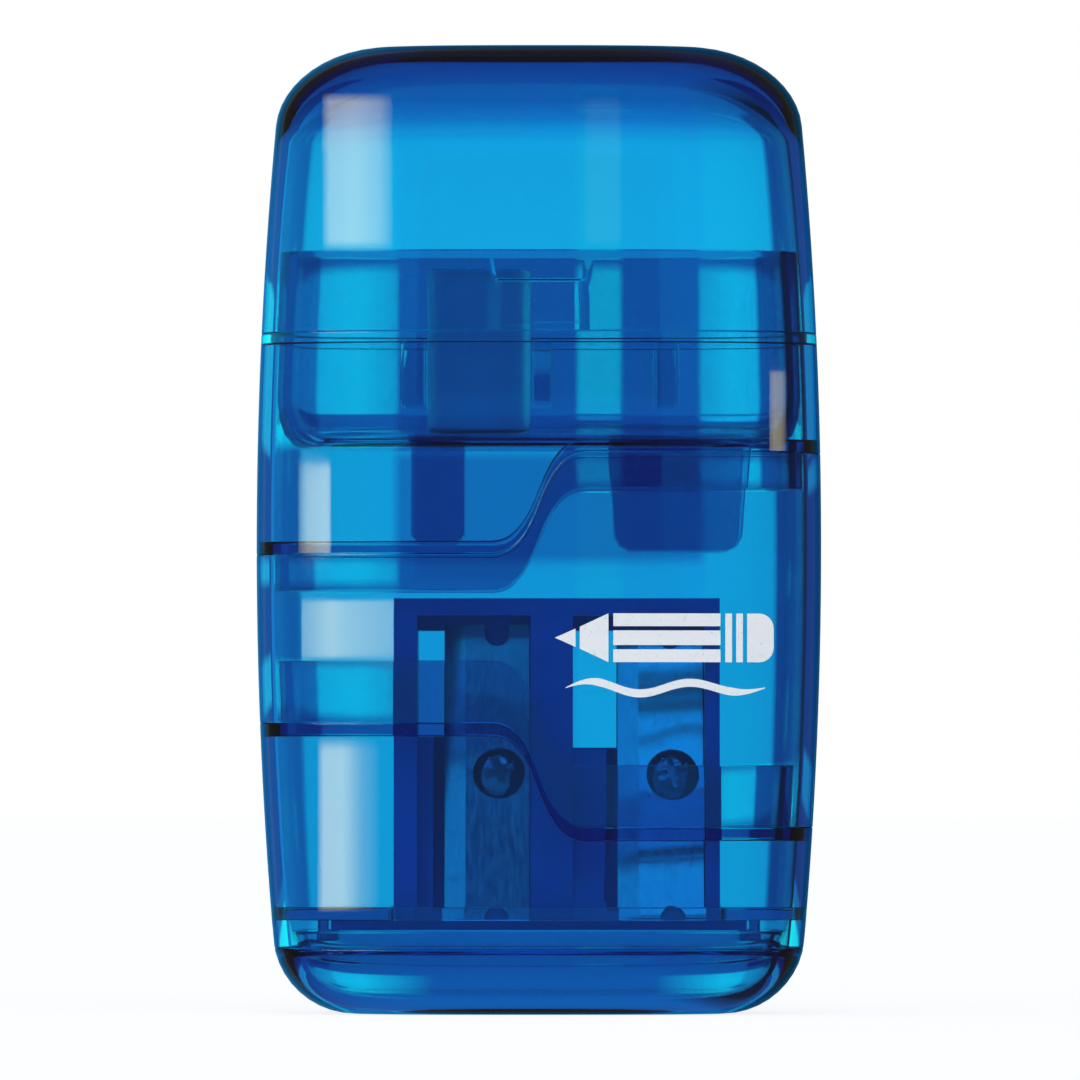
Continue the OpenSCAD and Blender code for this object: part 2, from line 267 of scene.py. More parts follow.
class MaterialShop:
    def __init__(self, name, tree=None):
        if tree is None:
            self.material = bpy.data.materials.new(name)
            self.material.use_nodes = True
            tree = self.material.node_tree
        self.tree = tree
        self.tree.nodes.clear()

    def add(self, kind, settings=None, inputs=None, output=0):
        node = self.tree.nodes.new("ShaderNode" + kind)
        for key, value in (settings or {}).items():
            if key == "stops":
                ramp = node.color_ramp
                while len(ramp.elements) < len(value):
                    ramp.elements.new(0.5)
                for element, (place, colour) in zip(ramp.elements, value):
                    element.position = place
                    element.color = colour
            else:
                setattr(node, key, value)
        for key, value in (inputs or {}).items():
            if isinstance(value, Wire):
                self.tree.links.new(value.socket, node.inputs[key])
            else:
                node.inputs[key].default_value = value
        return Wire(self, node.outputs[output])

    def place(self, scale=(1, 1, 1), turn=(0, 0, 0)):
        spot = self.add("TexCoord", output=3)
        return self.add("Mapping", {}, {0: spot, 3: scale, 2: turn})

    def noise(self, scale, stretch=(1, 1, 1), detail=2.0, roughness=0.5, turn=(0, 0, 0)):
        return self.add("TexNoise", {}, {"Vector": self.place(stretch, turn), "Scale": scale,
                                         "Detail": detail, "Roughness": roughness})

    def ramp(self, wire, low, high, fromValue=0.0, toValue=1.0):
        return self.add("MapRange", {"clamp": True}, {0: wire, 1: low, 2: high, 3: fromValue, 4: toValue})

    def bump(self, height, strength, distance):
        return self.add("Bump", {}, {"Height": height, "Strength": strength, "Distance": distance})

    def tint(self, factor, first, second):
        return self.add("Mix", {"data_type": "RGBA"}, {0: factor, 6: first, 7: second}, output=2)

    def times(self, colour, other, factor=1.0):
        settings = {"data_type": "RGBA", "blend_type": "MULTIPLY"}
        return self.add("Mix", settings, {0: factor, 6: colour, 7: other}, output=2)

    def finish(self, surface, volume=None):
        out = self.tree.nodes.new("ShaderNodeOutputMaterial")
        self.tree.links.new(surface.socket, out.inputs["Surface"])
        if volume:
            self.tree.links.new(volume.socket, out.inputs["Volume"])
        return self.material


def clearPlastic(name, dye, density, roughness, wear):
    shop = MaterialShop(name)
    hairlines = shop.noise(900, (1, 1, 0.03), 3, 0.6)               # fine upright rubbing marks
    handling = shop.noise(70, (1, 1, 1), 3, 0.55)
    flow = shop.noise(160, (1, 1, 0.25), 2, 0.4)                    # faint moulding flow
    height = hairlines * wear + flow * 0.6
    gloss = shop.ramp(handling, 0.42, 0.75, roughness, roughness + 0.03)
    skin = shop.add("BsdfPrincipled", {}, {
        "Base Color": (1, 1, 1, 1), "Roughness": gloss, "IOR": 1.53, "Transmission Weight": 1.0,
        "Normal": shop.bump(height, 0.06, 0.02 * mm)})
    depth = shop.add("VolumeAbsorption", {}, {"Color": dye, "Density": density})
    return shop.finish(skin, depth)


dyes = {
    "shell": {"dye": (0.0, 0.815, 0.915, 1), "density": 3000, "roughness": 0.015, "wear": 1.0},
    "tray": {"dye": (0.0, 0.815, 0.915, 1), "density": 3000, "roughness": 0.02, "wear": 0.6},
    "cover": {"dye": (0.0, 0.815, 0.915, 1), "density": 3300, "roughness": 0.03, "wear": 1.4},
    "deck": {"dye": (0.0, 0.815, 0.915, 1), "density": 600, "roughness": 0.03, "wear": 0.6},
}
shellBlue = clearPlastic("clearBlueShell", **dyes["shell"])
trayBlue = clearPlastic("clearBlueTray", **dyes["tray"])
coverBlue = clearPlastic("clearBlueCover", **dyes["cover"])
deckBlue = clearPlastic("clearBlueDeck", **dyes["deck"])


def mouldedBlock(name="navyMoulding"):
    shop = MaterialShop(name)
    cloud = shop.noise(350, (1, 1, 1), 3, 0.6)
    grain = shop.noise(4200, (1, 1, 1), 2, 0.5)
    paint = shop.tint(cloud, (0.022, 0.11, 0.50, 1), (0.032, 0.15, 0.64, 1))
    body = shop.add("BsdfPrincipled", {}, {
        "Base Color": paint, "Roughness": shop.ramp(cloud, 0.3, 0.7, 0.28, 0.42), "IOR": 1.5,
        "Normal": shop.bump(grain, 0.15, 0.02 * mm)})
    return shop.finish(body)


def groundSteel(name="bladeSteel"):
    shop = MaterialShop(name)
    rolled = shop.noise(260, (14, 14, 0.35), 4, 0.6)                # rolling lines along the blade
    ground = shop.noise(420, (0.25, 0.25, 16), 4, 0.65)             # grinding lines across the bevel
    spots = shop.noise(700, (1, 1, 1), 3, 0.6)
    paint = shop.tint(shop.ramp(spots, 0.55, 0.8), (0.60, 0.64, 0.70, 1), (0.42, 0.45, 0.52, 1))
    body = shop.add("BsdfPrincipled", {}, {
        "Base Color": paint, "Metallic": 1.0, "Roughness": shop.ramp(rolled, 0.3, 0.7, 0.13, 0.24),
        "Normal": shop.bump(rolled * 0.5 + ground * 0.7, 0.10, 0.01 * mm)})
    return shop.finish(body)


def screwWithPaintedShade(name="screwSteel"):
    shop = MaterialShop(name)
    turned = shop.noise(900, (1, 1, 1), 3, 0.6)
    # steel whose colour is darkened and tinted navy: painted shade standing in for the dark surroundings the
    # heads mirror
    body = shop.add("BsdfPrincipled", {}, {
        "Base Color": (0.20, 0.23, 0.32, 1), "Metallic": 1.0,
        "Roughness": shop.ramp(turned, 0.35, 0.7, 0.12, 0.3), "Normal": shop.bump(turned, 0.12, 0.01 * mm)})
    return shop.finish(body)


def eraserVinyl(name="eraserVinyl"):
    shop = MaterialShop(name)
    smudge = shop.noise(180, (1, 1, 1), 4, 0.6)
    pores = shop.noise(2600, (1, 1, 1), 2, 0.6)
    paint = shop.tint(shop.ramp(smudge, 0.5, 0.8), (0.86, 0.95, 1.0, 1), (0.70, 0.84, 0.94, 1))
    body = shop.add("BsdfPrincipled", {}, {
        "Base Color": paint, "Roughness": shop.ramp(smudge, 0.3, 0.7, 0.38, 0.5), "IOR": 1.35,
        "Transmission Weight": 0.86, "Normal": shop.bump(pores, 0.1, 0.02 * mm)})
    return shop.finish(body)


def whitePrintPaintedGlow(name="whitePrintPaintedGlow"):
    shop = MaterialShop(name)
    speckle = shop.noise(3800, (1, 1, 1), 3, 0.7)
    thin = shop.ramp(speckle, 0.56, 0.68)
    paint = shop.tint(thin, (0.93, 0.95, 0.96, 1), (0.60, 0.76, 0.84, 1))
    # white ink, thinner in the speckles; the weak emission is a painted glow that lightens the print beyond
    # what the lamps give
    body = shop.add("BsdfPrincipled", {}, {
        "Base Color": paint, "Roughness": shop.ramp(speckle, 0.3, 0.7, 0.45, 0.65),
        "Emission Color": paint, "Emission Strength": 0.14, "Normal": shop.bump(speckle, 0.2, 0.01 * mm)})
    return shop.finish(body)


blockNavy = mouldedBlock()
bladeSteel = groundSteel()
screwSteel = screwWithPaintedShade()
vinyl = eraserVinyl()
printWithPaintedGlow = whitePrintPaintedGlow()
print("materials made")


tray = {
    "floor": 0.9 * mm,
    "cornerRound": 4 * mm,
    "flangeInset": 0.75 * mm,
    "flange": 0.9 * mm,         # its thickness, and the depth of the band's rebate
    "rebate": 0.7 * mm,         # the band's rim outside that rebate
    "ribs": ((-11.3, -9.3), (-0.5, 1.0), (9.5, 11.4)),      # each rib's left and right side, in mm
    "ribProud": 0.4 * mm,
    "tongueDepths": ((-6.0, -4.8), (4.8, 6.0)),
    "leftTongue": ((-10.5, 46.69), (-10.5, 39.4), (-9.9, 38.8), (-6.7, 38.8), (-6.1, 39.4), (-6.1, 46.69)),
    "rightTongue": ((5.7, 46.69), (6.2, 39.4), (6.6, 38.6), (7.4, 38.2), (15.4, 38.2), (16.2, 38.6),
                    (16.6, 39.4), (17.1, 46.69)),
    "keyHalf": 3.55 * mm,
    "keyLow": 56.9 * mm,
    "keyHigh": 60.1 * mm,
    "keyProud": 0.16 * mm,
    "keyRoom": 0.3 * mm,        # how far the cap's keyway goes past the key on each side
    "keywayDeep": 0.22 * mm,
    "ribFoot": 2.5 * mm,        # where a rib starts above the floor
    "ribTop": 1 * mm,           # and where it ends below the cap's edge
    "softEdge": 0.15 * mm,
}


def buildCap():
    bm = bmesh.new()
    wall, rise = fit["capWall"], barrel["topRoundHeight"]
    steps = 12
    rounding = [top - rise * (1 - math.sin(math.radians(90 * k / steps))) for k in range(steps + 1)]
    outer = [corner(0, levelEdge(capLow))] + [corner(0, levelEdge(z)) for z in rounding]
    outer += [corner(0, levelEdge(top), scale=s) for s in (0.8, 0.55, 0.3, 0.08)]
    thick = fit["capTop"]
    inner = [corner(wall, levelEdge(top - thick), shift=-thick, scale=s) for s in (0.08, 0.3, 0.55, 0.8)]
    for z in reversed(rounding):
        share = (z - capLow) / (top - capLow)
        inner.append(corner(wall, levelEdge(z - thick * share), shift=-thick * share))
    keyTop = tray["keyHigh"] + 0.2 * mm
    inner += [corner(wall, levelEdge(keyTop + 0.15 * mm)), corner(wall, levelEdge(keyTop)),
              corner(wall, levelEdge(capLow))]
    sweepShell(bm, list(reversed(outer)) + list(reversed(inner)), closed=False)
    keywayHalf = tray["keyHalf"] + tray["keyRoom"]
    for v in bm.verts:                                  # keyway over the tray's key, open at the cap's edge
        onInside = 0 > v.co.y > frontY(v.co.x, v.co.z) + wall / 2
        if onInside and abs(v.co.x) < keywayHalf and v.co.z < keyTop + 0.01 * mm:
            v.co.y -= tray["keywayDeep"]
    piece = addObject("eraserCap", bm, shellBlue, "cap", ["eraser_cap"])
    softenEdges(piece, fit["softEdge"])


def buildBand():
    bm = bmesh.new()
    inside = fit["wall"] + fit["gap"]
    rebate, rebateDeep = tray["rebate"], tray["flange"]
    sweepShell(bm, [
        corner(0, bandEdge), corner(0, levelEdge(capLow)),
        corner(rebate, levelEdge(capLow)), corner(rebate, levelEdge(capLow), -rebateDeep),
        corner(fit["wall"], levelEdge(capLow), -rebateDeep), corner(fit["wall"], bandEdge, fit["root"]),
        corner(inside + fit["collarWall"], bandEdge, fit["root"]),
        corner(inside + fit["collarWall"], bandEdge, -fit["bandCollar"]),
        corner(inside, bandEdge, -fit["bandCollar"]), corner(inside, bandEdge)])
    piece = addObject("holderBand", bm, shellBlue, "container_unit", ["holder_band"])
    softenEdges(piece, fit["softEdge"])


def buildContainer():
    bm = bmesh.new()
    sweepShell(bm, [corner(0, shellEdge), corner(0, bandEdge), corner(fit["wall"], bandEdge),
                    corner(fit["wall"], shellEdge)])
    piece = addObject("shavingsContainer", bm, shellBlue, "container_unit",
                      ["shavings_container"])
    softenEdges(piece, fit["softEdge"])


def addPlate(bm, outline, near, far):
    verts = [bm.verts.new((x * mm, near, z * mm)) for x, z in outline]
    face = bm.faces.new(verts)
    grown = bmesh.ops.extrude_face_region(bm, geom=[face])["geom"]
    moved = [g for g in grown if isinstance(g, bmesh.types.BMVert)]
    bmesh.ops.translate(bm, vec=(0, far - near, 0), verts=moved)


def buildTray():
    bm = bmesh.new()
    outside = fit["wall"] + fit["gap"]
    inside = outside + fit["collarWall"]
    collar = fit["capWall"] + fit["gap"]
    r, floorTop = tray["cornerRound"], trayLow + tray["floor"]
    low, high = levelEdge(trayLow), levelEdge(floorTop)
    rounded = [(math.cos(math.radians(a)), math.sin(math.radians(a))) for a in (0, 22, 45, 67, 90)]
    corners = [corner(outside + r * 0.6, low, scale=s) for s in (0.1, 0.4, 0.7)]
    corners += [corner(outside + 0.6 * r * (1 - s), low, r * (1 - c)) for c, s in rounded]
    corners += [corner(outside, levelEdge(capLow), -tray["flange"]),
                corner(tray["flangeInset"], levelEdge(capLow), -tray["flange"]),
                corner(tray["flangeInset"], levelEdge(capLow)), corner(collar, levelEdge(capLow)),
                corner(collar, levelEdge(tray["keyLow"])), corner(collar, levelEdge(tray["keyHigh"])),
                corner(collar, levelEdge(trayRim)), corner(inside, levelEdge(trayRim))]
    corners += [corner(inside + 0.5 * r * (1 - s), high, 0.8 * r * (1 - c)) for c, s in reversed(rounded)]
    corners += [corner(inside + r * 0.5, high, scale=s) for s in (0.7, 0.4, 0.1)]
    sweepShell(bm, corners, closed=False)
    bm.normal_update()
    half, skinLow, skinHigh = tray["keyHalf"], tray["keyLow"], tray["keyHigh"]
    keyFaces = []
    for face in bm.faces:
        middle = face.calc_center_median()
        onFront = middle.y < frontY(middle.x, middle.z, collar) + 0.3 * mm
        if onFront and abs(middle.x) < half and skinLow < middle.z < skinHigh:
            keyFaces.append(face)
    raised = bmesh.ops.extrude_face_region(bm, geom=keyFaces)["geom"]
    bmesh.ops.translate(bm, vec=(0, -tray["keyProud"], 0),
                        verts=[g for g in raised if isinstance(g, bmesh.types.BMVert)])
    bmesh.ops.delete(bm, geom=keyFaces, context="FACES")
    for left, right in tray["ribs"]:
        wallY = frontY(max(abs(left), abs(right)) * mm, 52 * mm, inside)
        low, high = floorTop + tray["ribFoot"], capLow - tray["ribTop"]
        addBox(bm, (left * mm, wallY + 0.02 * mm, low), (right * mm, wallY + tray["ribProud"], high))
        addBox(bm, (left * mm, -wallY - tray["ribProud"], low), (right * mm, -wallY - 0.02 * mm, high))
    for near, far in tray["tongueDepths"]:
        addPlate(bm, tray["leftTongue"], near * mm, far * mm)
        addPlate(bm, tray["rightTongue"], near * mm, far * mm)
    piece = addObject("eraserTray", bm, trayBlue, "container_unit", ["eraser_tray"])
    softenEdges(piece, tray["softEdge"])


lowerShell = {
    "deckLow": 7.8 * mm,
    "deckHigh": 8.9 * mm,
    "windowSides": (-12.2 * mm, 15.1 * mm),
    "windowDepths": (-6.9 * mm, 6.9 * mm),
    "windowPower": 16,                          # high, so nearly a rectangle
    "bite": 0.05 * mm,                          # how far the deck and the hooks run into what holds them
    "catchSpan": (16.4, 17.3, 18.2),            # hook tip, stem inside, stem outside, in mm
    "catchHeights": (6.1, 7.0, 7.78),
    "catchHalf": 2 * mm,
}


def buildLowerShell():
    bm = bmesh.new()
    inside, long = fit["wall"] + fit["gap"], fit["shellCollar"]
    left, right = lowerShell["windowSides"]
    front, back = lowerShell["windowDepths"]
    window = ((left + right) / 2, (front + back) / 2, (right - left) / 2, (back - front) / 2,
              lowerShell["windowPower"])
    low, high = levelEdge(lowerShell["deckLow"]), levelEdge(lowerShell["deckHigh"])
    sweepShell(bm, [
        corner(0, levelEdge(coverTop)), corner(0, shellEdge),
        corner(inside, shellEdge, shift=long), corner(inside, shellEdge, long, long),
        corner(inside + fit["collarWall"], shellEdge, long, long),
        corner(inside + fit["collarWall"], shellEdge, -fit["root"], long),
        corner(fit["wall"], shellEdge, -fit["root"]), corner(fit["wall"], levelEdge(coverTop))])
    tip, stemIn, stemOut = (v * mm for v in lowerShell["catchSpan"])
    hookLow, hookHigh, stemTop = (v * mm for v in lowerShell["catchHeights"])
    for side in (-1, 1):
        xs = sorted((side * stemIn, side * stemOut))
        addBox(bm, (xs[0], -lowerShell["catchHalf"], hookLow), (xs[1], lowerShell["catchHalf"], stemTop))
        xs = sorted((side * tip, side * (stemIn + lowerShell["bite"])))
        addBox(bm, (xs[0], -lowerShell["catchHalf"], hookLow), (xs[1], lowerShell["catchHalf"], hookHigh))
    piece = addObject("sharpenerShell", bm, shellBlue, "sharpener_unit",
                      ["sharpener_shell"])
    softenEdges(piece, fit["softEdge"])
    bm = bmesh.new()
    edge = fit["wall"] - lowerShell["bite"]
    sweepShell(bm, [corner(edge, low), corner(edge, high),
                    corner(0, high, outline=window), corner(0, low, outline=window)])
    deck = addObject("shellDeck", bm, deckBlue, "sharpener_unit", ["sharpener_shell"])
    softenEdges(deck, fit["softEdge"])
    return piece


def buildCover():
    bm = bmesh.new()
    inside, floor, lift = fit["wall"] + fit["gap"], fit["coverFloor"], fit["coverCollar"]
    steps = 10
    rounding = [barrel["footRound"] * (1 - math.cos(math.radians(90 * k / steps))) for k in range(steps + 1)]
    rounding = [z for z in rounding if z < coverTop - 0.2 * mm]
    corners = [corner(0, levelEdge(0), scale=s) for s in (0.08, 0.4, 0.7)]
    corners += [corner(0, levelEdge(z)) for z in rounding]
    corners += [corner(0, levelEdge(coverTop)), corner(inside, levelEdge(coverTop), shift=lift),
                corner(inside, levelEdge(coverTop), lift, lift),
                corner(inside + fit["collarWall"], levelEdge(coverTop), lift, lift),
                corner(inside + fit["collarWall"], levelEdge(coverTop), 0, lift)]
    for z in reversed(rounding):
        share = z / coverTop
        drawn = floor + (coverTop - floor) * share
        corners.append(corner(inside + fit["collarWall"] * share, levelEdge(drawn), shift=drawn - z))
    corners += [corner(inside, levelEdge(floor), shift=floor, scale=s) for s in (0.7, 0.4, 0.08)]
    sweepShell(bm, corners, closed=False)
    piece = addObject("bottomCover", bm, coverBlue, "cover", ["bottom_cover"])
    softenEdges(piece, fit["softEdge"])


eraserShape = {"cornerRound": 1.6 * mm, "edgeRound": 0.35 * mm}


def buildEraser():
    low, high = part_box("eraser")
    bm = bmesh.new()
    addBox(bm, low, high)
    rise = {e: abs(e.verts[0].co.z - e.verts[1].co.z) for e in bm.edges}
    upright = [e for e in bm.edges if rise[e] > 1 * mm]
    bmesh.ops.bevel(bm, geom=upright, offset=eraserShape["cornerRound"], segments=6, profile=0.5,
                    affect="EDGES", material=-1)
    rim = [e for e in bm.edges if abs(e.verts[0].co.z - e.verts[1].co.z) < 1e-6]
    bmesh.ops.bevel(bm, geom=rim, offset=eraserShape["edgeRound"], segments=3, profile=0.5,
                    affect="EDGES", material=-1)
    addObject("eraserBlock", bm, vinyl, "eraser", ["eraser"])


buildCap()
buildBand()
buildContainer()
buildTray()
buildLowerShell()
buildCover()
buildEraser()
print("shells made")

# the moulded and ground parts keep their CAD shapes, merged, with their sharp edges broken:
# each piece's name, material, slot, and edge width in mm
softened = {
    "sharpener_block": ("sharpenerBlock", blockNavy, "navy_block", 0.16),
    "standard_blade": ("standardBlade", bladeSteel, "blade_steel", 0.05),
    "jumbo_blade": ("jumboBlade", bladeSteel, "blade_steel", 0.05),
    "standard_blade_screw": ("standardScrew", screwSteel, "screw_steel", 0.09),
    "jumbo_blade_screw": ("jumboScrew", screwSteel, "screw_steel", 0.09),
}


def softenedCopy(node, name, material, slot, width):
    bm = bmesh.new()
    bm.from_mesh(bpy.data.objects[node].data)
    bmesh.ops.remove_doubles(bm, verts=bm.verts, dist=2e-6)
    bmesh.ops.dissolve_limit(bm, angle_limit=math.radians(0.6), verts=bm.verts, edges=bm.edges)
    piece = addObject(name, bm, material, "sharpener_unit", [node])
    piece.data.set_sharp_from_angle(angle=math.radians(30))
    softenEdges(piece, width * mm, segments=2, angle=30)


for node, looks in softened.items():
    softenedCopy(node, *looks)
print("inner parts finished")

# a plain pencil and the line it draws, printed in white on the container's front
mark = {
    "thickness": 0.05 * mm,
    "sliceStep": 0.6 * mm,
    "tip": ((1.3, 31.0), (3.0, 31.75), (3.0, 30.25)),
    "wood": ((3.35, 31.9), (5.7, 33.0), (5.7, 29.0), (3.35, 30.1)),
    "stripes": ((29.0, 30.05), (30.4, 31.6), (31.95, 33.0)),    # low and high side of each barrel stripe
    "stripeEnds": (6.1, 14.9),
    "bands": ((15.3, 15.85), (16.2, 16.75)),                    # left and right side of each ferrule band
    "barrelHeights": (29.0, 33.0),
    "rubber": (17.1, 19.3),
    "rubberRound": 1.2,
    "line": (2.2, 18.6, 26.9, 0.55, 0.6),                       # left, right, height, sway, thickness
    "lineSteps": 48,
    "calming": 0.4,                                             # the sway lost by the line's right end
    "linePoint": 0.03,                                          # half the thickness of its ends
}


def printPlate(bm, outline):
    verts = [bm.verts.new((x * mm, 0, z * mm)) for x, z in outline]
    face = bm.faces.new(verts)
    geom = [face] + verts + list(face.edges)
    low, high = min(x for x, _ in outline) * mm, max(x for x, _ in outline) * mm
    x = low + mark["sliceStep"]
    while x < high - 0.1 * mm:
        cut = bmesh.ops.bisect_plane(bm, geom=geom, dist=1e-7, plane_co=(x, 0, 0), plane_no=(1, 0, 0))
        geom = cut["geom"]
        x += mark["sliceStep"]


def buildMark():
    bm = bmesh.new()
    printPlate(bm, mark["tip"])
    printPlate(bm, mark["wood"])
    left, right = mark["stripeEnds"]
    for low, high in mark["stripes"]:
        printPlate(bm, ((left, low), (right, low), (right, high), (left, high)))
    low, high = mark["barrelHeights"]
    for left, right in mark["bands"]:
        printPlate(bm, ((left, low), (right, low), (right, high), (left, high)))
    left, right = mark["rubber"]
    r = mark["rubberRound"]
    bend = [(right - r + r * math.sin(math.radians(a)), high - r + r * math.cos(math.radians(a)))
            for a in range(0, 91, 15)]
    under = [(x, low + high - z) for x, z in reversed(bend)]
    printPlate(bm, [(left, low), (left, high)] + bend + under)
    left, right, height, sway, thick = mark["line"]
    steps = mark["lineSteps"]
    alongs = [k / steps for k in range(steps + 1)]
    middle = [(left + (right - left) * t, height + sway * math.sin(4 * math.pi * t) * (1 - t * mark["calming"]))
              for t in alongs]
    taper = [thick / 2 * min(1, 6 * t, 6 * (1 - t)) + mark["linePoint"] for t in alongs]
    upper = [(x, z + t) for (x, z), t in zip(middle, taper)]
    lower = [(x, z - t) for (x, z), t in zip(middle, taper)]
    for k in range(steps):
        verts = [bm.verts.new((x * mm, 0, z * mm)) for x, z in (lower[k], lower[k + 1], upper[k + 1], upper[k])]
        bm.faces.new(verts)
    bmesh.ops.remove_doubles(bm, verts=bm.verts, dist=2e-6)
    grown = bmesh.ops.extrude_face_region(bm, geom=list(bm.faces))["geom"]
    outer = {g for g in grown if isinstance(g, bmesh.types.BMVert)}
    for v in bm.verts:
        lift = mark["thickness"] if v in outer else -0.01 * mm
        v.co.y = frontY(v.co.x, v.co.z) - lift
    piece = addObject("printedMark", bm, printWithPaintedGlow, "container_unit")
    piece.data.set_sharp_from_angle(angle=math.radians(40))


buildMark()
print("mark printed")

studio = {
    "distance": 960 * mm,
    "eyeHeight": 22.2 * mm,
    "lens": 386.0,
    "lookAt": (0.09 * mm, 39.2 * mm),   # aimed this far to the right, and up
    "backgroundGlow": 1.0,              # what the camera sees
    "behind": 1.5,                      # what is seen through the shells
    "ahead": 1.0,                       # what lights the inner parts
    "overhead": 2.8,                    # the same, from above
    "coolFront": (0.85, 1.0, 1.3, 1),
    "darkSide": 0.12,                   # to the right
    "mirrored": 0.12,                   # what the shells reflect
    "overheadFrom": (0.40, 0.5),        # a ray's share of up where the overhead light starts and is full
    "behindFrom": (-0.1, 0.3),          # the same, away from the camera, for what is behind
    "sideFrom": (0.15, 0.4),            # to the right, for the dark side
    "sideBehind": (-0.3, 0.0),          # and away from the camera, for the dark side
    "rimFrom": (0.6, 0.75),             # away from the camera, for the edges
    "rimSides": (0.03, -0.15, 0.35, 1),     # from right to left, with the light's share on each side
    "rimColour": (0.05, 0.45, 1.0, 1),
    "rimLight": 0.5,                    # what their left edge reflects
    "backdropGap": 24 * mm,             # how far behind the object the bright columns stand
}

cameraData = bpy.data.cameras.new("camera")
camera = bpy.data.objects.new("camera", cameraData)
bpy.context.scene.collection.objects.link(camera)
camera.location = (0, -studio["distance"], studio["eyeHeight"])
aside, upward = studio["lookAt"]
pitch = math.atan2(upward - studio["eyeHeight"], studio["distance"])
camera.rotation_euler = (math.radians(90) + pitch, 0, -math.atan2(aside, studio["distance"]))
cameraData.lens = studio["lens"]
cameraData.sensor_width = 36  # mm
cameraData.clip_start = 0.01
bpy.context.scene.camera = camera


throughOnly = ("camera", "diffuse", "glossy", "shadow", "volume_scatter")
mirroredOnly = ("camera", "diffuse", "transmission", "shadow", "volume_scatter")


# a plain thing of the studio, unseen by some kinds of ray
def addToStudio(name, bm, material, unseenBy):
    mesh = bpy.data.meshes.new(name)
    bm.to_mesh(mesh)
    bm.free()
    thing = bpy.data.objects.new(name, mesh)
    bpy.context.scene.collection.objects.link(thing)
    mesh.materials.append(material)
    for kind in unseenBy:
        setattr(thing, "visible_" + kind, False)


def buildWorld():
    world = bpy.data.worlds.new("studioWorld")
    bpy.context.scene.world = world
    world.use_nodes = True
    shop = MaterialShop("studioWorld", world.node_tree)
    direction = shop.add("TexCoord", output=0)
    sideways = shop.add("SeparateXYZ", {}, {0: direction}, output=0)
    forward = shop.add("SeparateXYZ", {}, {0: direction}, output=1)
    upward = shop.add("SeparateXYZ", {}, {0: direction}, output=2)
    front = shop.ramp(upward, *studio["overheadFrom"], studio["ahead"], studio["overhead"])
    back = shop.ramp(forward, *studio["behindFrom"])
    through = front * (1 - back) + back * studio["behind"]
    darker = shop.ramp(sideways, *studio["sideFrom"]) * shop.ramp(forward, *studio["sideBehind"])
    through = through * (1 - darker) + darker * studio["darkSide"]
    edgeOn = shop.ramp(forward, *studio["rimFrom"])
    rim = edgeOn * shop.ramp(sideways, *studio["rimSides"])
    mirrored = rim * studio["rimLight"] + studio["mirrored"]
    seen = shop.add("LightPath", output=0)
    reflection = shop.add("LightPath", output=5)
    strength = reflection * mirrored + (1 - reflection) * through
    strength = seen * studio["backgroundGlow"] + (1 - seen) * strength
    cool = shop.tint((1 - seen) * (1 - reflection) * (1 - back), (1, 1, 1, 1), studio["coolFront"])
    cool = shop.tint(reflection * edgeOn, cool, studio["rimColour"])
    sky = shop.add("Background", {}, {"Color": cool, "Strength": strength})
    out = shop.tree.nodes.new("ShaderNodeOutputWorld")
    shop.tree.links.new(sky.socket, out.inputs["Surface"])


# the backdrop card: bright columns behind the object, seen only through its clear walls
backdrop = {
    "columns": ((-60, -12.1), (3.2, 6.9), (14.0, 60)),      # left and right side on the middle plane, in mm
    "outside": ((-23.2, (0.5, 0.36, 0.6, 1)),               # where it darkens beside the object, and how far
                (22.6, (0.25, 0.17, 0.4, 1))),
    "outsideByFoot": 0.4,                                   # how much of that is felt at the foot
    "dimRows": (37.4, 46.3),                                # heights where the middle is darker
    "dimmed": (0.5, 0.5, 0.7, 1),
    "coverLeft": (-9, -17),                                 # softer columns in the cover, dark to bright
    "coverRight": (10, 18),
    "columnSoft": 0.25,
    "rowSoft": 0.5,
    "middleGlow": 0.62,                                     # the middle column beside the other two
    "fade": (3.9, 0.55),                                    # width and least glow of a column's inner edge
    "footRows": (-8, 5.0),                                  # heights where walls lie two deep
    "doubledRows": (47.2, 61.9),
    "leftRows": ((24.4, 28.8), (35.5, 37.6)),
    "rightRows": ((15.6, 20.1), (43.8, 46.0)),
    "doubledGlow": (1.0, 5.2, 1.25),                        # added there, times what is behind
    "singleGlow": (0.1, 0.16, 0.0),
}


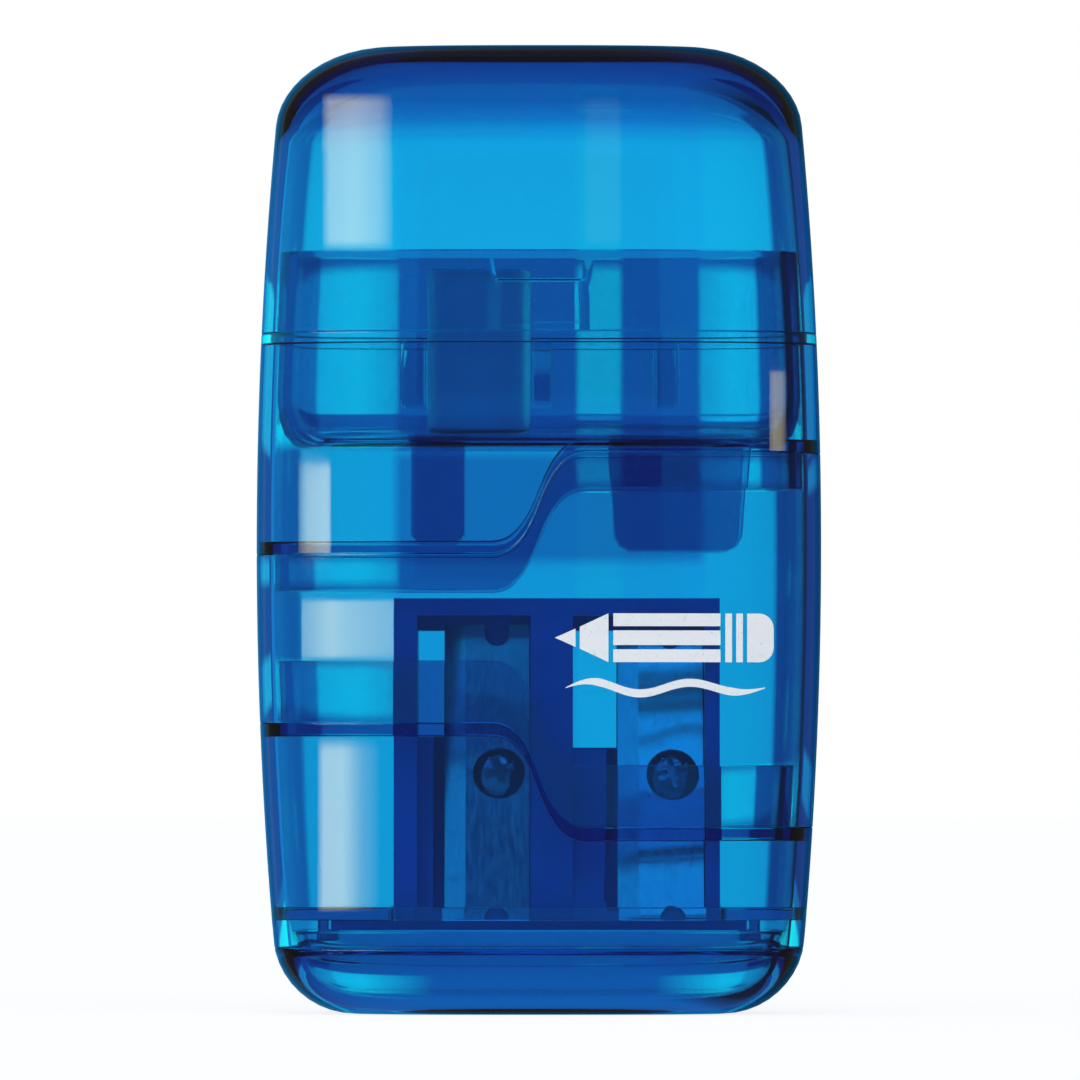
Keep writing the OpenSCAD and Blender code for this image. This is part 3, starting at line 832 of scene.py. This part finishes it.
def buildBackdrop():
    y = halfDeepest + studio["backdropGap"]
    spread = (studio["distance"] + y) / studio["distance"]
    eye = studio["eyeHeight"]
    bm = bmesh.new()
    grid = bmesh.ops.create_grid(bm, x_segments=1, y_segments=1, size=70 * mm)["verts"]
    bmesh.ops.rotate(bm, verts=grid, cent=(0, 0, 0), matrix=Matrix.Rotation(math.radians(90), 3, "X"))
    bmesh.ops.translate(bm, verts=grid, vec=(0, y, 50 * mm))
    shop = MaterialShop("backdropGlow")
    spot = shop.add("TexCoord", output=3)
    x = shop.add("SeparateXYZ", {}, {0: spot}, output=0) * (1 / (spread * mm))
    z = (shop.add("SeparateXYZ", {}, {0: spot}, output=2) - eye) * (1 / (spread * mm)) + eye / mm

    def window(wire, sides, soft):
        low, high = sides
        return shop.ramp(wire, low - soft, low + soft) * shop.ramp(wire, high + soft, high - soft)

    def windows(wire, spans, soft):
        total = window(wire, spans[0], soft)
        for sides in spans[1:]:
            total = total + window(wire, sides, soft)
        return total

    soft = backdrop["columnSoft"]
    columns = backdrop["columns"]
    wide, least = backdrop["fade"]
    column = window(x, columns[0], soft) * shop.ramp(x, columns[0][1] - wide, columns[0][1], 1, least)
    column = column + window(x, columns[2], soft) * shop.ramp(x, columns[2][0], columns[2][0] + wide, least, 1)
    aboveFoot = shop.ramp(z, backdrop["footRows"][1] + 2, backdrop["footRows"][1] + 3)
    column = column + window(x, columns[1], soft) * backdrop["middleGlow"]
    inCover = shop.ramp(x, *backdrop["coverLeft"]) + shop.ramp(x, *backdrop["coverRight"])
    column = column * aboveFoot + inCover * (1 - aboveFoot)
    leftHalf = shop.ramp(x, 0.5, -0.5)
    rowSoft = backdrop["rowSoft"]
    doubled = window(z, backdrop["doubledRows"], rowSoft) + window(z, backdrop["footRows"], rowSoft)
    doubled = doubled + leftHalf * windows(z, backdrop["leftRows"], rowSoft)
    doubled = doubled + (1 - leftHalf) * windows(z, backdrop["rightRows"], rowSoft)
    base = studio["behind"]
    plain = (base, base, base, 1)
    single = tuple(base * (1 + g) for g in backdrop["singleGlow"]) + (1,)
    double = tuple(base * (1 + g) for g in backdrop["doubledGlow"]) + (1,)
    bright = shop.tint(doubled, single, double)
    (left, leftGlow), (right, rightGlow) = backdrop["outside"]
    pattern = shop.tint(column, plain, bright)
    felt = shop.ramp(aboveFoot, 0, 1, backdrop["outsideByFoot"], 1)
    beside = shop.ramp(x, left, left - 1.5) * felt
    pattern = shop.times(pattern, leftGlow, beside)
    beside = shop.ramp(x, right, right + 1.5) * felt
    pattern = shop.times(pattern, rightGlow, beside)
    middle = window(x, (columns[0][1], columns[2][0]), rowSoft) * window(z, backdrop["dimRows"], rowSoft)
    pattern = shop.times(pattern, backdrop["dimmed"], middle)
    glow = shop.add("Emission", {}, {"Color": pattern, "Strength": 1.0})
    addToStudio("backdropCard", bm, shop.finish(glow), throughOnly)


cards = {"glow": 8.0, "tint": (1, 0.9, 0.4, 1), "away": 0.5, "across": 10, "upward": 12, "fade": 0.06}


# a bent card that shows as a pale patch on the front skin, between two widths and two heights given in mm;
# the stops give its glow from left to right
def mirrorCard(name, sides, heights, stops):
    eye = Vector((0, -studio["distance"], studio["eyeHeight"]))
    step = 0.05 * mm
    bm = bmesh.new()
    bm.loops.layers.uv.new("spread")
    across, upward = cards["across"], cards["upward"]
    grid = bmesh.ops.create_grid(bm, x_segments=across, y_segments=upward, size=1, calc_uvs=True)["verts"]
    for v in grid:
        x = (sides[0] + (sides[1] - sides[0]) * (v.co.x + 1) / 2) * mm
        z = (heights[0] + (heights[1] - heights[0]) * (v.co.y + 1) / 2) * mm
        near = 1 + frontY(x, z) / studio["distance"]    # the skin is nearer than the middle plane
        x0, z0 = x * near, eye.z + (z - eye.z) * near
        here = Vector((x0, frontY(x0, z0), z0))
        alongX = Vector((x0 + step, frontY(x0 + step, z0), z0)) - here
        alongZ = Vector((x0, frontY(x0, z0 + step), z0 + step)) - here
        normal = alongX.cross(alongZ).normalized()
        ray = (here - eye).normalized()
        v.co = here + (ray - 2 * ray.dot(normal) * normal) * cards["away"]
    shop = MaterialShop(name)
    spot = shop.add("TexCoord", output=2)
    across = shop.add("SeparateXYZ", {}, {0: spot}, output=0)
    upward = shop.add("SeparateXYZ", {}, {0: spot}, output=1)
    ends = shop.ramp(upward, 0, cards["fade"]) * shop.ramp(upward, 1, 1 - cards["fade"])
    shade = shop.add("ValToRGB", {"stops": [(place, (g, g, g, 1)) for place, g in stops]}, {0: across})
    colour = shop.tint(ends, (0, 0, 0, 1), shade)
    warm = shop.times(colour, cards["tint"])
    glow = shop.add("Emission", {}, {"Color": warm, "Strength": cards["glow"]})
    addToStudio(name, bm, shop.finish(glow), mirroredOnly)


floor = {"size": 3, "paper": (0.6, 0.6, 0.6, 1), "glow": 0.83}


def buildFloor():
    bm = bmesh.new()
    bmesh.ops.create_grid(bm, x_segments=1, y_segments=1, size=floor["size"])
    shop = MaterialShop("paperFloor")
    paper = shop.add("BsdfDiffuse", {}, {"Color": floor["paper"]})
    glow = shop.add("Emission", {}, {"Color": (1, 1, 1, 1), "Strength": floor["glow"]})
    both = shop.add("AddShader", {}, {0: paper, 1: glow})
    addToStudio("floor", bm, shop.finish(both), ("glossy", "transmission"))


# pale patches on the shells: left and right side, low and high end, glow from left to right
patches = {
    "capLeft": ((-18.0, -12.2), (63.2, 76.3), ((0, 0.1), (0.1, 0.72), (0.45, 0.86), (0.82, 0.55), (1, 0.1))),
    "capMiddle": ((3.6, 7.0), (63.4, 76.2), ((0, 0.01), (0.15, 0.05), (0.85, 0.05), (1, 0.01))),
    "bandLeft": ((-20.0, -17.3), (38.0, 45.7), ((0, 0.15), (0.3, 0.8), (0.9, 1), (1, 0.4))),
    "containerLeft": ((-19.7, -12.1), (29.3, 34.3),
                      ((0, 0.45), (0.18, 0.75), (0.32, 1), (0.5, 0.75), (1, 0.5))),
    "shellLeft": ((-18.4, -13.2), (7.4, 22.6), ((0, 0.1), (0.1, 0.95), (0.4, 1), (0.7, 0.3), (1, 0.02))),
    "bandRight": ((19.1, 20.5), (46.4, 53.4), ((0, 0.3), (0.3, 0.6), (0.7, 0.5), (1, 0.1))),
}

# a dark card in front, seen only through the shells, which darkens what the left blade mirrors
darkCard = {"away": 250 * mm, "halfWidth": 70 * mm, "elevations": (4, 21.5), "shade": (0.1, 0.1, 0.34, 1)}


def buildDarkCard():
    low, high = (math.tan(math.radians(a)) * darkCard["away"] + 20 * mm for a in darkCard["elevations"])
    bm = bmesh.new()
    grid = bmesh.ops.create_grid(bm, x_segments=1, y_segments=1, size=1)["verts"]
    bmesh.ops.scale(bm, verts=grid, vec=(darkCard["halfWidth"], (high - low) / 2, 1))
    bmesh.ops.rotate(bm, verts=grid, cent=(0, 0, 0), matrix=Matrix.Rotation(math.radians(90), 3, "X"))
    bmesh.ops.translate(bm, verts=grid, vec=(0, -darkCard["away"], (low + high) / 2))
    shop = MaterialShop("darkCard")
    shade = shop.add("Emission", {}, {"Color": darkCard["shade"]})
    addToStudio("darkCard", bm, shop.finish(shade), throughOnly)


buildWorld()
buildFloor()
buildBackdrop()
buildDarkCard()
for name, (sides, heights, stops) in patches.items():
    mirrorCard(name, sides, heights, stops)
scene = bpy.context.scene
scene.view_settings.view_transform = "Standard"
scene.cycles.max_bounces = 32
scene.cycles.transmission_bounces = 32
scene.cycles.glossy_bounces = 8
scene.cycles.blur_glossy = 0.5
print("studio made")
